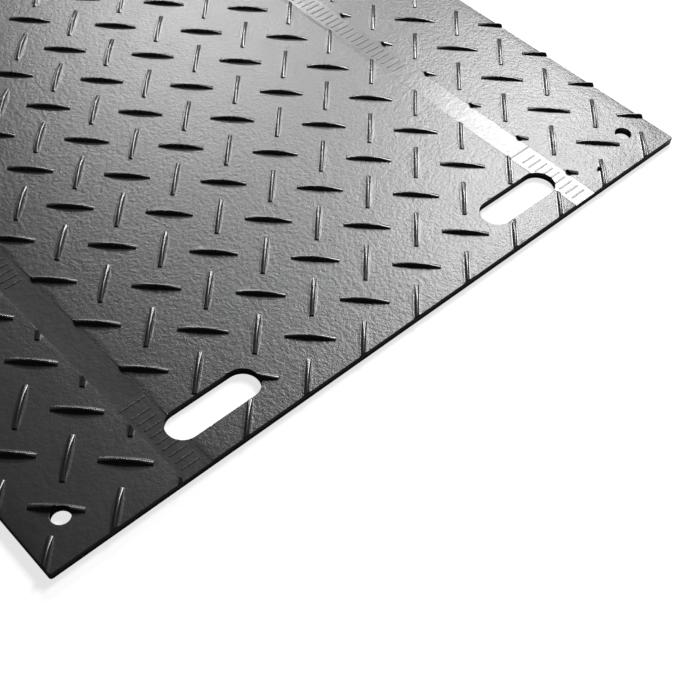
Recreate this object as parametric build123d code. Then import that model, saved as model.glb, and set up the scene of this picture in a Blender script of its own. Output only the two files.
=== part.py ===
from build123d import *
import math
import os

# Ground protection mat: one sheet of polyethylene, pressed in one piece.
# Its upper face carries a tread of arched ribs, set at 45 degrees and crossed by turns,
# two smooth bands sunk along its length, four hand slots and four corner holes.
#
# Frame: the mat lies on z = 0, centred on the z axis, with its length along y.
# All sizes are in millimetres.

# sheet
mat_width = 1220.0
mat_length = 2440.0
sheet_thickness = 12.7
corner_radius = 4.0

# smooth bands along the length
band_width = 48.0
band_depth = 0.8
band_from_side = 225.0          # long edge to the middle of a band

# hand slots near the short edges
slot_length = 152.0
slot_width = 52.0
slot_from_end = 70.5            # short edge to the middle of a slot
slot_inside_band = 81.0         # middle of a band to the middle of a slot

# corner holes
hole_diameter = 27.0
hole_from_side = 57.0
hole_from_end = 60.0

# tread rib, straight, with a crest that ramps down to low square ends, and drafted flanks
rib_length = 72.0
rib_height = 6.35               # crest above the sheet in the middle of a rib
rib_end_height = 1.5            # crest above the sheet at its ends
rib_level_length = 23.0         # middle run of a crest; a ramp goes down from it to each end
rib_base_width = 7.5
rib_crest_width = 2.6           # at the middle, from where the draft widens it towards the ends
rib_root = 1.0                  # depth that a rib is sunk into the sheet before both are joined

# tread pattern: ribs one way at each crossing of a grid, ribs the other way in each cell's middle
pitch_across = 105.2
pitch_along = 106.3
column_from_centre = -25.2      # grid line nearest the mat's centre line
row_from_end = 71.2             # grid line nearest the front short edge
shortest_stub = 10.0            # a rib that the edge would leave shorter than this is left out

allowance = 5.0                 # how far a cutting body runs past what it cuts


def rib():
    """One rib on z = 0, lying along x: its side view extruded across, kept within a bar with drafted flanks."""
    end, level = rib_length / 2, rib_level_length / 2
    side_view = Polyline((-end, -rib_root), (-end, rib_end_height), (-level, rib_height),
                         (level, rib_height), (end, rib_end_height), (end, -rib_root), close=True)
    ridge = extrude(Plane.XZ * make_face(side_view), rib_base_width, both=True)

    draft = (rib_base_width - rib_crest_width) / 2 / rib_height
    over_crest = rib_height + rib_root
    low_half = rib_base_width / 2 + draft * rib_root
    high_half = rib_base_width / 2 - draft * over_crest
    section = Polyline((-low_half, -rib_root), (low_half, -rib_root),
                       (high_half, over_crest), (-high_half, over_crest), close=True)
    bar = extrude(Plane.YZ * make_face(section), end + allowance, both=True)
    return bar & ridge


def reach(angle):
    """How far a rib at this angle stretches from its middle along x and along y."""
    along = rib_length / 2
    across = rib_base_width / 2
    turn = math.radians(angle)
    reach_x = along * abs(math.cos(turn)) + across * abs(math.sin(turn))
    reach_y = along * abs(math.sin(turn)) + across * abs(math.cos(turn))
    return reach_x, reach_y


def grid_lines(first, pitch, low, high):
    """Places first + n * pitch that lie between low and high."""
    start = math.ceil((low - first) / pitch)
    stop = math.floor((high - first) / pitch)
    return [first + n * pitch for n in range(start, stop + 1)]


def tread_places():
    """Middle and angle of each rib that shows on the mat."""
    front_row = row_from_end - mat_length / 2
    grids = ((column_from_centre, front_row, -45),
             (column_from_centre + pitch_across / 2, front_row + pitch_along / 2, 45))
    places = []
    for first_column, first_row, angle in grids:
        reach_x, reach_y = reach(angle)
        stub = shortest_stub * math.sqrt(0.5)
        limit_x = mat_width / 2 + reach_x - stub
        limit_y = mat_length / 2 + reach_y - stub
        for x in grid_lines(first_column, pitch_across, -limit_x, limit_x):
            for y in grid_lines(first_row, pitch_along, -limit_y, limit_y):
                places.append((x, y, angle))
    return places


def treaded_blank():
    """Oversize sheet with every rib on it, before it is trimmed."""
    margin = 2 * rib_length         # the outermost ribs stand partly outside the outline
    blank = Pos(0, 0, sheet_thickness / 2) * Box(mat_width + margin, mat_length + margin, sheet_thickness)
    one_rib = rib()
    ribs = [Pos(x, y, sheet_thickness) * Rot(0, 0, angle) * one_rib for x, y, angle in tread_places()]
    return blank.fuse(*ribs)


def outline_prism(height):
    """Upright block with the mat's outline."""
    return extrude(RectangleRounded(mat_width, mat_length, corner_radius), height)


def band_middles():
    """Distance of each band from the centre line, left and right."""
    offset = mat_width / 2 - band_from_side
    return (-offset, offset)


def band_cutters(height):
    """Blocks that sink the bands and clear the ribs off them, past both short edges."""
    floor = sheet_thickness - band_depth
    length = mat_length + 2 * allowance
    return [Pos(x, 0, floor + height / 2) * Box(band_width, length, height) for x in band_middles()]


def slot_cutters(height):
    """Round-ended slots through the sheet, two near each short edge."""
    x_offset = mat_width / 2 - band_from_side - slot_inside_band
    y_offset = mat_length / 2 - slot_from_end
    slot = extrude(SlotOverall(slot_length, slot_width), height, both=True)
    return [Pos(x, y, 0) * slot for x in (-x_offset, x_offset) for y in (-y_offset, y_offset)]


def hole_cutters(height):
    """Round holes through the four corners."""
    x_offset = mat_width / 2 - hole_from_side
    y_offset = mat_length / 2 - hole_from_end
    hole = extrude(Circle(hole_diameter / 2), height, both=True)
    return [Pos(x, y, 0) * hole for x in (-x_offset, x_offset) for y in (-y_offset, y_offset)]


def mat():
    """The whole mat as one solid."""
    clear_height = sheet_thickness + rib_height + allowance
    treaded = treaded_blank() & outline_prism(clear_height)
    cutters = band_cutters(clear_height) + slot_cutters(clear_height) + hole_cutters(clear_height)
    return treaded.cut(*cutters)


os.makedirs("parts", exist_ok=True)
export_step(mat(), "parts/mat.step")
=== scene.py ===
"""Ground protection mat of black moulded polyethylene, with its studio.

The mat lies on z = 0 with its length along y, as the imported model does. Everything here is in metres.
"""
import logging
import math
from dataclasses import dataclass, field
from enum import Enum
from typing import Any, Sequence, Union

import bpy
import numpy as np
from mathutils import Matrix, Vector


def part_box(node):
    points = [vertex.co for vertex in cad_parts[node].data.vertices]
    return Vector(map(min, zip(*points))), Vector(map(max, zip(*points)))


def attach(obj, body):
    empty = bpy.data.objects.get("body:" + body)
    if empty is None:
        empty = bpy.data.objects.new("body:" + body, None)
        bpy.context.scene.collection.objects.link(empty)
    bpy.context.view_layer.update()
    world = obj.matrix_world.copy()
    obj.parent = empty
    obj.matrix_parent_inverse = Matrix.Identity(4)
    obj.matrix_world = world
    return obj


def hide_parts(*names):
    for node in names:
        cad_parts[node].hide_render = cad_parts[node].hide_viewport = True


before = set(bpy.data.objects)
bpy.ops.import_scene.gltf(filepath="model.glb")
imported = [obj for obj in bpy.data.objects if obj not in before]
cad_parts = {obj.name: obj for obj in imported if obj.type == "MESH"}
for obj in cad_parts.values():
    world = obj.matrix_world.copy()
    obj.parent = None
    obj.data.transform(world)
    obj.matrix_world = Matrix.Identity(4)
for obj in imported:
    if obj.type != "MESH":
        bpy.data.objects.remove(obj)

LOG = logging.getLogger("mat")
MM = 0.001


class Cut(Enum):
    """Ways to combine two closed meshes."""

    JOIN = "UNION"
    CARVE = "DIFFERENCE"
    KEEP_INSIDE = "INTERSECT"


class Lie(Enum):
    """The two ways a rib lies on the sheet, as its turn from the x axis in degrees."""

    FALLING = -45.0
    RISING = 45.0


@dataclass(frozen=True)
class Loop:
    """Closed convex outline seen from above, run anticlockwise.

    Attributes:
        points: Array of shape (n, 2).
        normals: Unit outward normals, of the same shape.
    """

    points: np.ndarray
    normals: np.ndarray

    def moved(self, x: float, y: float) -> "Loop":
        """The same outline moved by (x, y)."""
        return Loop(self.points + np.array([x, y]), self.normals)


def round_cornered(half_x: float, half_y: float, radius: float, steps: int) -> Loop:
    """Rectangle with round corners.

    Each corner is a quarter circle about the point one radius in from both sides, so an outline point is
    that centre plus the radius times the point's own outward normal.

    Args:
        half_x: Half the size along x.
        half_y: Half the size along y.
        radius: Corner radius.
        steps: Steps in each quarter circle.

    Returns:
        The outline.
    """
    quarter = np.linspace(0.0, math.pi / 2, steps + 1)
    angles = np.concatenate([quarter + k * math.pi / 2 for k in range(4)])
    signs = np.repeat(np.array([[1, 1], [-1, 1], [-1, -1], [1, -1]]), steps + 1, axis=0)
    normals = np.column_stack([np.cos(angles), np.sin(angles)])
    centres = signs * np.array([half_x - radius, half_y - radius])
    return Loop(centres + radius * normals, normals)


def round_ended(length: float, width: float, steps: int) -> Loop:
    """Slot outline with half-circle ends, its length along x.

    Args:
        length: End to end.
        width: Side to side.
        steps: Steps in each half circle.

    Returns:
        The outline.
    """
    radius = width / 2
    half = np.linspace(-math.pi / 2, math.pi / 2, steps + 1)
    angles = np.concatenate([half, half + math.pi])
    side = np.repeat([1.0, -1.0], steps + 1)
    normals = np.column_stack([np.cos(angles), np.sin(angles)])
    centres = np.column_stack([side * (length / 2 - radius), np.zeros_like(side)])
    return Loop(centres + radius * normals, normals)


def circle(radius: float, steps: int) -> Loop:
    """Circle about the origin with this many steps."""
    angles = np.linspace(0.0, 2 * math.pi, steps, endpoint=False)
    normals = np.column_stack([np.cos(angles), np.sin(angles)])
    return Loop(radius * normals, normals)


@dataclass
class Shell:
    """Closed surface as arrays: vertices of shape (n, 3) and faces as tuples of vertex numbers."""

    vertices: np.ndarray
    faces: list[tuple[int, ...]]

    @staticmethod
    def joined(shells: Sequence["Shell"]) -> "Shell":
        """Several shells as one list of vertices and faces."""
        starts = np.cumsum([0] + [len(shell.vertices) for shell in shells])
        faces = [tuple(v + int(start) for v in face)
                 for start, shell in zip(starts, shells) for face in shell.faces]
        return Shell(np.vstack([shell.vertices for shell in shells]), faces)


def quads(rows: int, columns: int, wrap: bool) -> np.ndarray:
    """Quads of a grid of vertices numbered row by row, as an array of shape (n, 4).

    Args:
        rows: Rows of vertices.
        columns: Vertices in a row.
        wrap: Whether the last column joins the first.

    Returns:
        Vertex numbers of each quad, run anticlockwise where rows rise and columns go to the right.
    """
    row, column = np.meshgrid(np.arange(rows - 1), np.arange(columns if wrap else columns - 1), indexing="ij")
    after = (column + 1) % columns
    low, high = row * columns, (row + 1) * columns
    return np.stack([low + column, low + after, high + after, high + column], axis=-1).reshape(-1, 4)


def tube_faces(rings: int, around: int) -> list[tuple[int, ...]]:
    """Faces of a closed tube, each ring run anticlockwise about the way from the first ring to the last.

    Args:
        rings: Number of rings.
        around: Points in a ring.

    Returns:
        Side quads and the two end faces, all facing outwards.
    """
    first = tuple(range(around - 1, -1, -1))
    last = tuple(range((rings - 1) * around, rings * around))
    return [tuple(quad) for quad in quads(rings, around, True).tolist()] + [first, last]


def swept(loop: Loop, profile: np.ndarray) -> Shell:
    """Closed solid whose outline is pushed in or out as it rises.

    Each row of the profile is (push, height): a ring's points are the loop's points plus push times their
    normals, at that height. Flat faces close the first and the last ring.

    Args:
        loop: The outline.
        profile: Array of shape (m, 2), from the lowest height to the highest.

    Returns:
        The closed solid.
    """
    flat = loop.points[None] + profile[:, None, :1] * loop.normals[None]
    heights = np.broadcast_to(profile[:, None, 1:], flat.shape[:2] + (1,))
    vertices = np.concatenate([flat, heights], axis=2).reshape(-1, 3)
    return Shell(vertices, tube_faces(len(profile), len(loop.points)))


def slab(xs: np.ndarray, ys: np.ndarray, low: float, high: float) -> Shell:
    """Upright block whose level faces are divided along the lines xs and ys.

    The upper grid is every pair (x, y) at height high and the lower grid the same at height low, and the
    rim joins their border points.

    Args:
        xs: Lines across, rising.
        ys: Lines along, rising.
        low: Height of the underside.
        high: Height of the upper side.

    Returns:
        The closed block.
    """
    grid_y, grid_x = np.meshgrid(ys, xs, indexing="ij")
    plan = np.stack([grid_x, grid_y], axis=-1).reshape(-1, 2)
    count, across = len(plan), len(xs)
    vertices = np.vstack([np.column_stack([plan, np.full(count, z)]) for z in (low, high)])
    level = quads(len(ys), across, False)
    index = np.arange(count).reshape(len(ys), across)
    rim = np.concatenate([index[0, :-1], index[:-1, -1], index[-1, :0:-1], index[:0:-1, 0]])
    after = np.roll(rim, -1)
    sides = np.stack([rim, after, after + count, rim + count], axis=-1)
    faces = np.vstack([level[:, ::-1], level + count, sides])
    return Shell(vertices, [tuple(face) for face in faces.tolist()])


def quarter_round(radius: float, steps: int) -> np.ndarray:
    """Quarter circle as rows of (distance from the wall, rise), from (0, 0) to (radius, radius)."""
    turn = np.linspace(0.0, math.pi / 2, steps + 1)
    return radius * np.column_stack([1 - np.cos(turn), np.sin(turn)])


def grid_lines(first: float, pitch: float, limit: float) -> np.ndarray:
    """Places first + n * pitch that lie within limit of zero."""
    start = math.ceil((-limit - first) / pitch)
    stop = math.floor((limit - first) / pitch)
    return first + pitch * np.arange(start, stop + 1)


def new_piece(name: str, shell: Shell) -> bpy.types.Object:
    """Blender object with this shell as its mesh, linked into the scene at the origin."""
    mesh = bpy.data.meshes.new(name)
    mesh.from_pydata(shell.vertices.tolist(), [], shell.faces)
    mesh.update()
    piece = bpy.data.objects.new(name, mesh)
    bpy.context.scene.collection.objects.link(piece)
    return piece


def bake_modifiers(piece: bpy.types.Object) -> None:
    """Put what the modifiers make of a piece into its own mesh, and take them off."""
    graph = bpy.context.evaluated_depsgraph_get()
    mesh = bpy.data.meshes.new_from_object(piece.evaluated_get(graph))
    piece.modifiers.clear()
    old, piece.data = piece.data, mesh
    bpy.data.meshes.remove(old)
    mesh.name = piece.name


def combine(piece: bpy.types.Object, name: str, shell: Shell, cut: Cut) -> None:
    """Combine a piece with a shell, in place.

    Args:
        piece: Object whose mesh becomes the result.
        name: Name of the shell while it is an object.
        shell: Closed surface that is used up.
        cut: How the two combine.
    """
    other = new_piece(name, shell)
    modifier = piece.modifiers.new("combine", "BOOLEAN")
    modifier.operation = cut.value
    modifier.solver = "MANIFOLD"
    modifier.object = other
    bake_modifiers(piece)
    used = other.data
    bpy.data.objects.remove(other)
    bpy.data.meshes.remove(used)
    LOG.info("%s after %s: %d faces", piece.name, name, len(piece.data.polygons))


@dataclass(frozen=True)
class Field:
    """A number, colour or vector that varies over a surface: one output of a material's nodes."""

    nodes: "Nodes"
    socket: bpy.types.NodeSocket

    def __add__(self, other: "Value") -> "Field":
        """Sum."""
        return self.nodes.maths("ADD", self, other)

    __radd__ = __add__

    def __sub__(self, other: "Value") -> "Field":
        """Difference."""
        return self.nodes.maths("SUBTRACT", self, other)

    def __rsub__(self, other: "Value") -> "Field":
        """Difference, the other way round."""
        return self.nodes.maths("SUBTRACT", other, self)

    def __mul__(self, other: "Value") -> "Field":
        """Product."""
        return self.nodes.maths("MULTIPLY", self, other)

    __rmul__ = __mul__

    def __truediv__(self, other: "Value") -> "Field":
        """Quotient."""
        return self.nodes.maths("DIVIDE", self, other)

    def __abs__(self) -> "Field":
        """Size without sign."""
        return self.nodes.maths("ABSOLUTE", self)

    def __gt__(self, other: "Value") -> "Field":
        """1 where this is greater, else 0."""
        return self.nodes.maths("GREATER_THAN", self, other)

    def __lt__(self, other: "Value") -> "Field":
        """1 where this is less, else 0."""
        return self.nodes.maths("LESS_THAN", self, other)

    def rising(self, low: float, high: float) -> "Field":
        """0 below low, 1 above high and a smooth step between."""
        settings = {"interpolation_type": "SMOOTHSTEP"}
        return self.nodes.add("ShaderNodeMapRange", settings, {"Value": self, "From Min": low, "From Max": high})


Value = Union[Field, float]


@dataclass(frozen=True)
class Nodes:
    """The nodes of one material."""

    tree: bpy.types.NodeTree

    def add(self, kind: str, settings: dict[str, Any] | None = None,
            sockets: dict[Union[str, int], Any] | None = None, output: Union[str, int] = 0) -> Field:
        """Add one node.

        Args:
            kind: The node's type.
            settings: Its own settings, set before its sockets.
            sockets: Numbers, colours or fields for its inputs.
            output: The output that is wanted.

        Returns:
            That output.
        """
        node = self.tree.nodes.new(kind)
        for name, value in (settings or {}).items():
            setattr(node, name, value)
        for name, value in (sockets or {}).items():
            self.feed(node.inputs[name], value)
        return Field(self, node.outputs[output])

    def feed(self, socket: bpy.types.NodeSocket, value: Any) -> None:
        """Link a field to an input, or set the input to a plain value."""
        if isinstance(value, Field):
            self.tree.links.new(value.socket, socket)
        else:
            socket.default_value = value

    def maths(self, operation: str, *values: Value) -> Field:
        """One Math node on these values."""
        return self.add("ShaderNodeMath", {"operation": operation}, dict(enumerate(values)))

    def position(self) -> Field:
        """Place on the object, in metres."""
        return self.add("ShaderNodeTexCoord", output="Object")

    def axis(self, vector: Field, name: str) -> Field:
        """One part of a vector, X, Y or Z."""
        return self.add("ShaderNodeSeparateXYZ", sockets={0: vector}, output=name)

    def noise(self, vector: Field, size: float, detail: float = 2.0, rough: float = 0.5) -> Field:
        """Noise from 0 to 1 whose blobs are about this many metres apart."""
        sockets = {"Vector": vector, "Scale": 1.0 / size, "Detail": detail, "Roughness": rough}
        return self.add("ShaderNodeTexNoise", None, sockets, "Fac")

    def mix(self, factor: Value, first: Any, second: Any) -> Field:
        """Colour mix, first where factor is 0 and second where it is 1."""
        sockets = {"Factor": factor, 6: first, 7: second}
        return self.add("ShaderNodeMix", {"data_type": "RGBA"}, sockets, 2)


def fresh_material(name: str) -> tuple[bpy.types.Material, Nodes, bpy.types.Node]:
    """Material with only a Principled shader and its output.

    Args:
        name: Name of the material.

    Returns:
        The material, its nodes and the shader.
    """
    material = bpy.data.materials.new(name)
    material.use_nodes = True
    tree = material.node_tree
    return material, Nodes(tree), tree.nodes["Principled BSDF"]


@dataclass(frozen=True)
class Sheet:
    """The flat sheet.

    Attributes:
        half_width: Half the size along x.
        half_length: Half the size along y.
        thickness: From the ground to the deck.
        corner_radius: Radius of the four upright corners.
        edge_radius: Rounding of the upper and lower edges.
        cell: Largest piece of the deck that is one face.
    """

    half_width: float
    half_length: float
    thickness: float = 12.7 * MM
    corner_radius: float = 4.0 * MM
    edge_radius: float = 0.9 * MM
    cell: float = 53.0 * MM
    clear: float = 12.0 * MM

    def outline(self, inset: float) -> Loop:
        """Outline of the sheet, pulled in by inset on every side."""
        return round_cornered(self.half_width - inset, self.half_length - inset, self.corner_radius - inset, 6)

    def blank(self) -> Shell:
        """Oversize block, its deck and underside divided into cells."""
        reach = (self.half_width + self.clear, self.half_length + self.clear)
        xs, ys = (np.linspace(-r, r, round(2 * r / self.cell) + 1) for r in reach)
        return slab(xs, ys, 0.0, self.thickness)

    def trimmer(self) -> Shell:
        """Block that trims the blank, its wall bent inwards by a quarter circle at both faces of the sheet."""
        radius, deck = self.edge_radius, self.thickness
        bend = quarter_round(radius, 3)
        low = np.column_stack([-bend[::-1, 0], radius - bend[::-1, 1]])
        high = np.column_stack([-bend[:, 0], deck - radius + bend[:, 1]])
        profile = np.vstack([[-radius, -self.clear], low, high, [-radius, deck + self.clear]])
        return swept(self.outline(0.0), profile)


@dataclass(frozen=True)
class Tread:
    """Arched ribs, one way at the crossings of a grid and the other way in the middle of its cells.

    Attributes:
        sheet: What they stand on.
        length: Along a rib.
        height: Of the crest's middle above the deck.
        end_height: Of the crest's ends above the deck.
        base_width: Across the flanks at the deck.
        crest_width: Across a flat crest of this draft; the crown is bent over inside it.
        crown_drop: From the crest's middle to its shoulders, half way along the rib.
        foot: Width of the hollow where a flank meets the deck, half way along the rib.
        foot_rise: Height at which the hollow ends and the flank begins.
        end_round: Length over which the ends are rounded off.
        pitch_across: Grid step along x.
        pitch_along: Grid step along y.
        first_column: Grid line nearest the middle of the mat.
        row_from_end: Grid line nearest the front edge, from that edge.
        shortest_stub: A rib that the edge would leave shorter than this is left out.
    """

    sheet: Sheet
    length: float = 72.0 * MM
    height: float = 6.35 * MM
    end_height: float = 1.5 * MM
    base_width: float = 7.5 * MM
    crest_width: float = 2.6 * MM
    crown_drop: float = 1.4 * MM
    foot: float = 5.0 * MM
    foot_rise: float = 0.9 * MM
    end_round: float = 0.7 * MM
    root: float = 1.0 * MM
    sink: float = 0.03 * MM
    pitch_across: float = 105.2 * MM
    pitch_along: float = 106.3 * MM
    first_column: float = -25.2 * MM
    row_from_end: float = 71.2 * MM
    shortest_stub: float = 10.0 * MM
    spans: int = 4

    def rings(self) -> np.ndarray:
        """Cross-sections of one rib that lies along x on z = 0.

        At the place s along the rib the crest is at height - radius + sqrt(radius^2 - s^2), with the radius
        that brings it down to the end height at half the length. At height z a flank stands half the base
        width less z times the draft from the middle. The foot runs out to the deck in a hollow whose width
        goes with sqrt(1 - (s / half length)^2), and from the shoulders the crown is bent over to the crest.
        The last ring at each end is a little lower and narrower, which rounds the square end off.

        Returns:
            Array of shape (rings, ring points, 3), each ring run anticlockwise about +x.
        """
        half, rise = self.length / 2, self.height - self.end_height
        inner = np.linspace(-half + self.end_round, half - self.end_round, self.spans + 1)
        s = np.concatenate([[-half], inner, [half]])
        radius = (half ** 2 + rise ** 2) / (2 * rise)
        crest = self.height - radius + np.sqrt(radius ** 2 - s ** 2)
        crest[[0, -1]] -= self.end_round
        shrink = np.ones_like(s)
        shrink[[0, -1]] = 0.85
        draft = (self.base_width - self.crest_width) / 2 / self.height
        drop = self.crown_drop * crest / self.height
        base = self.base_width / 2
        foot = self.foot * np.sqrt(np.maximum(1 - (s / half) ** 2, 0.02))
        foot_z = np.minimum(self.foot_rise, 0.4 * crest)
        shoulder_y = base - draft * (crest - drop)
        y = np.stack([base + foot, base + foot, base + 0.35 * foot, base - draft * foot_z,
                      shoulder_y, 0.62 * shoulder_y, 0 * s]) * shrink
        z = np.stack([0 * s - self.root, 0 * s - self.sink, 0.3 * foot_z, foot_z,
                      crest - drop, crest - 0.28 * drop, crest])
        y, z = np.concatenate([y, -y[-2::-1]]), np.concatenate([z, z[-2::-1]])
        return np.stack([np.broadcast_to(s, y.shape), y, z], axis=-1).transpose(1, 0, 2)

    def places(self) -> np.ndarray:
        """Middle and turn of every rib that shows, as rows of (x, y, radians)."""
        reach = (self.length + self.base_width) / 2 * math.sqrt(0.5) - self.shortest_stub * math.sqrt(0.5)
        front = self.row_from_end - self.sheet.half_length
        rows = []
        for lie, step in ((Lie.FALLING, 0.0), (Lie.RISING, 0.5)):
            xs = grid_lines(self.first_column + step * self.pitch_across, self.pitch_across,
                            self.sheet.half_width + reach)
            ys = grid_lines(front + step * self.pitch_along, self.pitch_along, self.sheet.half_length + reach)
            grid = np.stack(np.meshgrid(xs, ys, indexing="ij"), axis=-1).reshape(-1, 2)
            rows.append(np.column_stack([grid, np.full(len(grid), math.radians(lie.value))]))
        return np.vstack(rows)

    def shell(self) -> Shell:
        """Every rib: the points of one, turned and moved to all the places at once."""
        rings = self.rings()
        x, y, turn = self.places().T[:, :, None]
        one = rings.reshape(-1, 3)
        cos, sin = np.cos(turn), np.sin(turn)
        px = x + one[:, 0] * cos - one[:, 1] * sin
        py = y + one[:, 0] * sin + one[:, 1] * cos
        pz = np.broadcast_to(one[:, 2] + self.sheet.thickness, px.shape)
        vertices = np.stack([px, py, pz], axis=-1).reshape(-1, 3)
        faces = tube_faces(*rings.shape[:2])
        starts = range(0, len(vertices), len(one))
        return Shell(vertices, [tuple(v + start for v in face) for start in starts for face in faces])


@dataclass(frozen=True)
class Bands:
    """Two smooth bands sunk along the mat.

    Attributes:
        sheet: What they are sunk in.
        width: Of a band at the deck.
        depth: Below the deck.
        from_side: Long edge to the middle of a band.
        lean: How far each side wall leans over its depth.
    """

    sheet: Sheet
    width: float = 48.0 * MM
    depth: float = 0.8 * MM
    from_side: float = 225.0 * MM
    lean: float = 2.0 * MM
    clear: float = 12.0 * MM

    @property
    def middle(self) -> float:
        """Distance of a band from the mat's middle line."""
        return self.sheet.half_width - self.from_side

    @property
    def floor(self) -> float:
        """Height of a band's floor."""
        return self.sheet.thickness - self.depth

    def cutter(self) -> Shell:
        """Two long blocks with a level floor and leaning sides up to the deck, then upright sides.

        Each is one cross-section repeated at places along y, a cell apart.
        """
        deck, half = self.sheet.thickness, self.width / 2
        reach = self.sheet.half_length + self.clear
        ys = np.linspace(reach, -reach, round(2 * reach / self.sheet.cell) + 1)
        across = np.array([self.lean - half, half - self.lean, half, half, -half, -half])
        up = np.array([self.floor, self.floor, deck, deck + self.clear, deck + self.clear, deck])
        shells = []
        for middle in (-self.middle, self.middle):
            x, y = np.broadcast_arrays(across + middle, ys[:, None])
            points = np.stack([x, y, np.broadcast_to(up, x.shape)], axis=-1).reshape(-1, 3)
            shells.append(Shell(points, tube_faces(len(ys), len(across))))
        return Shell.joined(shells)


@dataclass(frozen=True)
class Openings:
    """Hand slots and corner holes, cut right through, with rounded edges.

    Attributes:
        sheet: What they are cut in.
        bands: The slots' places are taken from the bands.
        slot_length: End to end of a slot.
        slot_width: Across a slot.
        slot_from_end: Short edge to the middle of a slot.
        slot_inside_band: Middle of a band to the middle of a slot.
        hole_radius: Of a corner hole.
        hole_from_side: Long edge to a hole's middle.
        hole_from_end: Short edge to a hole's middle.
        edge_radius: Rounding of the openings' edges.
    """

    sheet: Sheet
    bands: Bands
    slot_length: float = 152.0 * MM
    slot_width: float = 52.0 * MM
    slot_from_end: float = 70.5 * MM
    slot_inside_band: float = 81.0 * MM
    hole_radius: float = 13.5 * MM
    hole_from_side: float = 57.0 * MM
    hole_from_end: float = 60.0 * MM
    edge_radius: float = 0.7 * MM
    clear: float = 12.0 * MM

    def profile(self) -> np.ndarray:
        """Push and height of a cutter's rings, flared by a quarter circle at both faces of the sheet."""
        radius, deck = self.edge_radius, self.sheet.thickness
        bend = quarter_round(radius, 3)
        low = np.column_stack([bend[::-1, 0], radius - bend[::-1, 1]])
        high = np.column_stack([bend[:, 0], deck - radius + bend[:, 1]])
        return np.vstack([[radius, -self.clear], low, high, [radius, deck + self.clear]])

    def cutter(self) -> Shell:
        """Four slots and four holes as closed solids."""
        slot_x = self.bands.middle - self.slot_inside_band
        slot_y = self.sheet.half_length - self.slot_from_end
        hole_x = self.sheet.half_width - self.hole_from_side
        hole_y = self.sheet.half_length - self.hole_from_end
        slot = round_ended(self.slot_length, self.slot_width, 24)
        hole = circle(self.hole_radius, 40)
        profile = self.profile()
        corners = [(side, end) for side in (-1, 1) for end in (-1, 1)]
        slots = [swept(slot.moved(side * slot_x, end * slot_y), profile) for side, end in corners]
        holes = [swept(hole.moved(side * hole_x, end * hole_y), profile) for side, end in corners]
        return Shell.joined(slots + holes)


@dataclass(frozen=True)
class GripBars:
    """Low plain bars across the bands, in the fields that the mould has for markings.

    Attributes:
        bands: Where they stand.
        length: Of a bar, across the band.
        width: Of a bar, along the band.
        height: Above the band's floor.
        pitch: From bar to bar.
        end_field: Field next to each short edge, from its near bar to its far bar.
        mid_field: The same for the field nearer the middle of the mat, from the short edge.
    """

    bands: Bands
    length: float = 30.0 * MM
    width: float = 3.4 * MM
    height: float = 0.65 * MM
    pitch: float = 13.0 * MM
    end_field: tuple[float, float] = (16.0 * MM, 126.0 * MM)
    mid_field: tuple[float, float] = (420.0 * MM, 1000.0 * MM)
    frame_line: float = 140.0 * MM

    def bar(self, length: float) -> Shell:
        """One bar along x at the origin: a round-ended outline drawn in towards its upper face."""
        loop = round_ended(length, self.width, 6)
        low, high = self.bands.floor - 1.0 * MM, self.bands.floor + self.height
        lean = 0.5 * self.height
        return swept(loop, np.array([[0.0, low], [0.0, high - self.height], [-lean, high]]))

    def rows(self) -> np.ndarray:
        """Distances of the bars from a short edge."""
        fields = [np.arange(near, far, self.pitch) for near, far in (self.end_field, self.mid_field)]
        return np.concatenate(fields)

    def shell(self) -> Shell:
        """All bars, and a line across each band at the end field's far side."""
        edge = self.bands.sheet.half_length
        bar, line = self.bar(self.length), self.bar(self.bands.width - 4 * MM)
        shells = []
        for x in (-self.bands.middle, self.bands.middle):
            for end in (-1, 1):
                places = [(bar, end * (edge - row)) for row in self.rows()]
                places.append((line, end * (edge - self.frame_line)))
                shells += [Shell(one.vertices + np.array([x, y, 0.0]), one.faces) for one, y in places]
        return Shell.joined(shells)


@dataclass(frozen=True)
class Blemish:
    """Small flaw in the moulding, shaped as an ellipsoid.

    Attributes:
        middle: Its middle.
        radii: Half its size along x, y and z.
        cut: Whether it stands out or is chipped out.
    """

    middle: tuple[float, float, float]
    radii: tuple[float, float, float]
    cut: Cut

    def shell(self) -> Shell:
        """Ellipsoid: level rings of radius cos(t) at height sin(t), stretched by the radii."""
        t = np.linspace(-1.35, 1.35, 7)
        unit = circle(1.0, 10).points
        flat = np.cos(t)[:, None, None] * unit[None]
        up = np.broadcast_to(np.sin(t)[:, None, None], flat.shape[:2] + (1,))
        points = np.concatenate([flat, up], axis=2).reshape(-1, 3)
        return Shell(points * np.array(self.radii) + np.array(self.middle), tube_faces(len(t), len(unit)))


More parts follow.
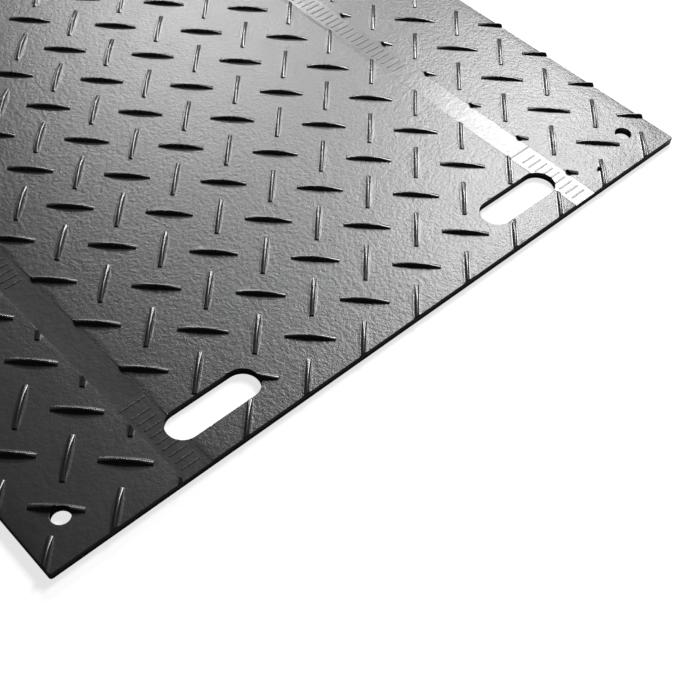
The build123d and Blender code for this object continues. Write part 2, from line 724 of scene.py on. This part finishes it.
@dataclass(frozen=True)
class Polythene:
    """Black polythene with the moulding plate's grain, smoother in the bands and on the ribs.

    Attributes:
        bands: Where the surface is smoother.
        colour: Of the plastic.
        deck_roughness: On the sheet between the ribs.
        band_roughness: In the bands.
        rib_roughness: On the ribs.
        grain_size: Of the fine grain.
        grain_depth: Of the fine grain.
        ripple_size: Of the slow unevenness.
        ripple_depth: Of the slow unevenness.
        worn_grain: Share of the grain that is left near the left long edge.
        worn_span: Places across the mat between which the grain comes back in full.
    """

    bands: Bands
    colour: tuple[float, float, float, float] = (0.02, 0.02, 0.0208, 1.0)
    deck_roughness: float = 0.37
    band_roughness: float = 0.33
    rib_roughness: float = 0.27
    grain_size: float = 5.0 * MM
    grain_depth: float = 0.8 * MM
    ripple_size: float = 14.0 * MM
    ripple_depth: float = 0.3 * MM
    worn_grain: float = 0.3
    worn_span: tuple[float, float] = (-520.0 * MM, -240.0 * MM)

    def material(self) -> bpy.types.Material:
        """The finish as a material on Object coordinates."""
        material, nodes, shader = fresh_material("black_polythene")
        place = nodes.position()
        x, z = nodes.axis(place, "X"), nodes.axis(place, "Z")
        off_middle = abs(abs(x) - self.bands.middle)
        in_band = (off_middle < self.bands.width / 2) * (z < self.bands.floor + 0.1 * MM)
        on_top = z > self.bands.floor - 0.1 * MM
        deck = self.bands.sheet.thickness
        on_rib = z.rising(deck + 0.2 * MM, deck + 1.0 * MM)
        grain = nodes.noise(place, self.grain_size, 3.0, 0.6)
        ripple = nodes.noise(place, self.ripple_size, 2.0, 0.5)
        patchy = nodes.noise(place, 60 * MM, 3.0, 0.55)
        rough = self.deck_roughness + (self.band_roughness - self.deck_roughness) * in_band
        rough = rough + 0.05 * (patchy - 0.5) + 0.04 * (grain - 0.5)
        rough = rough + (self.rib_roughness - self.deck_roughness) * on_rib
        kept = self.worn_grain + (1 - self.worn_grain) * x.rising(*self.worn_span)
        height = self.grain_depth * grain * kept * (1 - 0.6 * in_band) + self.ripple_depth * ripple
        nodes.feed(shader.inputs["Roughness"], rough)
        sockets = {"Height": height * on_top * (1 - 0.9 * on_rib), "Strength": 1.0, "Distance": 1.0}
        nodes.feed(shader.inputs["Normal"], nodes.add("ShaderNodeBump", None, sockets, "Normal"))
        shader.inputs["Base Color"].default_value = self.colour
        return material


@dataclass
class Mat:
    """The whole mat, moulded as one piece."""

    sheet: Sheet
    tread: Tread = field(init=False)
    bands: Bands = field(init=False)
    openings: Openings = field(init=False)
    blemishes: tuple[Blemish, ...] = (
        Blemish((0.4540, -1.1895, 0.0140), (0.0035, 0.0028, 0.0040), Cut.JOIN),
        Blemish((0.2670, -1.1215, 0.0122), (0.0030, 0.0034, 0.0015), Cut.JOIN),
        Blemish((-0.3275, -1.1765, 0.0127), (0.0040, 0.0016, 0.0022), Cut.CARVE),
    )

    def __post_init__(self) -> None:
        """Make the sub-parts that stand on the sheet."""
        self.tread = Tread(self.sheet)
        self.bands = Bands(self.sheet)
        self.openings = Openings(self.sheet, self.bands)

    def build(self) -> bpy.types.Object:
        """Blank with every rib on it, trimmed to the outline, with the bands and openings cut out of it."""
        mat = new_piece("moulded_mat", self.sheet.blank())
        combine(mat, "ribs", self.tread.shell(), Cut.JOIN)
        combine(mat, "outline", self.sheet.trimmer(), Cut.KEEP_INSIDE)
        combine(mat, "bands", self.bands.cutter(), Cut.CARVE)
        combine(mat, "grip_bars", GripBars(self.bands).shell(), Cut.JOIN)
        combine(mat, "openings", self.openings.cutter(), Cut.CARVE)
        for number, blemish in enumerate(self.blemishes):
            combine(mat, f"blemish_{number}", blemish.shell(), blemish.cut)
        self.shade(mat)
        mat.data.materials.clear()
        mat.data.materials.append(Polythene(self.bands).material())
        return mat

    def shade(self, mat: bpy.types.Object) -> None:
        """Shade smooth between sharp edges, with the large level faces ruling the normals at their rims."""
        mat.data.shade_smooth()
        mat.data.set_sharp_from_angle(angle=math.radians(35))
        modifier = mat.modifiers.new("weighted_normals", "WEIGHTED_NORMAL")
        modifier.keep_sharp = True
        modifier.weight = 50


@dataclass(frozen=True)
class SoftBox:
    """Rectangular soft light that faces a point on the mat.

    Attributes:
        name: What it is called.
        azimuth: Degrees from +x towards +y.
        elevation: Degrees above the floor.
        distance: From the point to the light.
        size: Level and rising size.
        radiance: Brightness of its face.
    """

    name: str
    azimuth: float
    elevation: float
    distance: float
    size: tuple[float, float]
    radiance: float
    aim: tuple[float, float, float] = (0.0, -0.9, 0.0)

    def place(self) -> None:
        """Add the light to the scene."""
        turn, rise = math.radians(self.azimuth), math.radians(self.elevation)
        away = Vector((math.cos(rise) * math.cos(turn), math.cos(rise) * math.sin(turn), math.sin(rise)))
        data = bpy.data.lights.new(self.name, "AREA")
        data.shape = "RECTANGLE"
        data.size, data.size_y = self.size
        data.energy = self.radiance * math.pi * self.size[0] * self.size[1]
        light = bpy.data.objects.new(self.name, data)
        pose = away.to_track_quat("Z", "Y").to_matrix().to_4x4()
        light.matrix_world = Matrix.Translation(Vector(self.aim) + self.distance * away) @ pose
        bpy.context.scene.collection.objects.link(light)


@dataclass(frozen=True)
class Studio:
    """Floor, lights and camera.

    Attributes:
        eye: Where the camera stands.
        aim: Point on the deck in the middle of the picture.
        roll: Degrees that the camera leans.
        focal_px: Focal length in picture points.
        image_px: Width of the picture in points.
        film: Width of the camera's film in millimetres.
    """

    eye: tuple[float, float, float] = (-0.86643, -1.91743, 1.30871)
    aim: tuple[float, float, float] = (-0.1029, -1.1905, 0.0127)
    roll: float = -4.551
    focal_px: float = 1201.2
    image_px: float = 690.0
    film: float = 36.0
    ambient: float = 0.05
    lights: tuple[SoftBox, ...] = (
        SoftBox("main_box", 21.5, 41.4, 2.8, (0.9, 0.9), 43.0),
        SoftBox("far_box", 57.0, 29.8, 2.4, (0.9, 0.16), 78.0),
    )

    def camera(self) -> None:
        """Camera at eye, looking at aim and leaning by roll about its own axis."""
        data = bpy.data.cameras.new("camera")
        data.sensor_width = self.film
        data.lens = self.focal_px / self.image_px * self.film
        data.clip_end = 50.0
        camera = bpy.data.objects.new("camera", data)
        look = (Vector(self.aim) - Vector(self.eye)).to_track_quat("-Z", "Y").to_matrix().to_4x4()
        lean = Matrix.Rotation(math.radians(-self.roll), 4, "Z")
        camera.matrix_world = Matrix.Translation(self.eye) @ look @ lean
        bpy.context.scene.collection.objects.link(camera)
        bpy.context.scene.camera = camera

    def floor(self) -> None:
        """Wide floor that looks white to the camera but keeps the mat's shadow."""
        reach = 12.0
        plan = np.array([[-reach, -reach, 0], [reach, -reach, 0], [reach, reach, 0], [-reach, reach, 0]])
        floor = new_piece("floor", Shell(plan, [(0, 1, 2, 3)]))
        material, nodes, shader = fresh_material("pale_floor")
        shader.inputs["Base Color"].default_value = (0.35, 0.35, 0.35, 1.0)
        shader.inputs["Roughness"].default_value = 0.9
        seen = nodes.add("ShaderNodeLightPath", output="Is Camera Ray")
        glow = nodes.add("ShaderNodeEmission", None, {"Color": (1.0, 1.0, 1.0, 1.0), "Strength": 0.75})
        both = nodes.add("ShaderNodeAddShader", None, {0: Field(nodes, shader.outputs[0]), 1: glow})
        surface = nodes.add("ShaderNodeMixShader", None, {0: seen, 1: Field(nodes, shader.outputs[0]), 2: both})
        nodes.feed(nodes.tree.nodes["Material Output"].inputs["Surface"], surface)
        floor.data.materials.append(material)

    def world(self) -> None:
        """White to the camera, and a low even glow on everything else."""
        world = bpy.data.worlds.new("studio")
        world.use_nodes = True
        nodes = Nodes(world.node_tree)
        background = world.node_tree.nodes["Background"]
        seen = nodes.add("ShaderNodeLightPath", output="Is Camera Ray")
        background.inputs["Color"].default_value = (1.0, 1.0, 1.0, 1.0)
        nodes.feed(background.inputs["Strength"], self.ambient + (1 - self.ambient) * seen)
        bpy.context.scene.world = world

    def build(self) -> None:
        """Set up everything around the mat."""
        self.camera()
        for light in self.lights:
            light.place()
        self.floor()
        self.world()
        bpy.context.scene.view_settings.view_transform = "Standard"


def main() -> None:
    """Build the mat and its studio."""
    logging.basicConfig(level=logging.INFO, format="%(name)s: %(message)s")
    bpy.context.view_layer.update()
    low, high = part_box("mat")
    mat = Mat(Sheet(half_width=(high[0] - low[0]) / 2, half_length=(high[1] - low[1]) / 2)).build()
    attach(mat, "root")
    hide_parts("mat")
    Studio().build()
    LOG.info("mat: %d faces", len(mat.data.polygons))


if __name__ == "__main__":
    main()
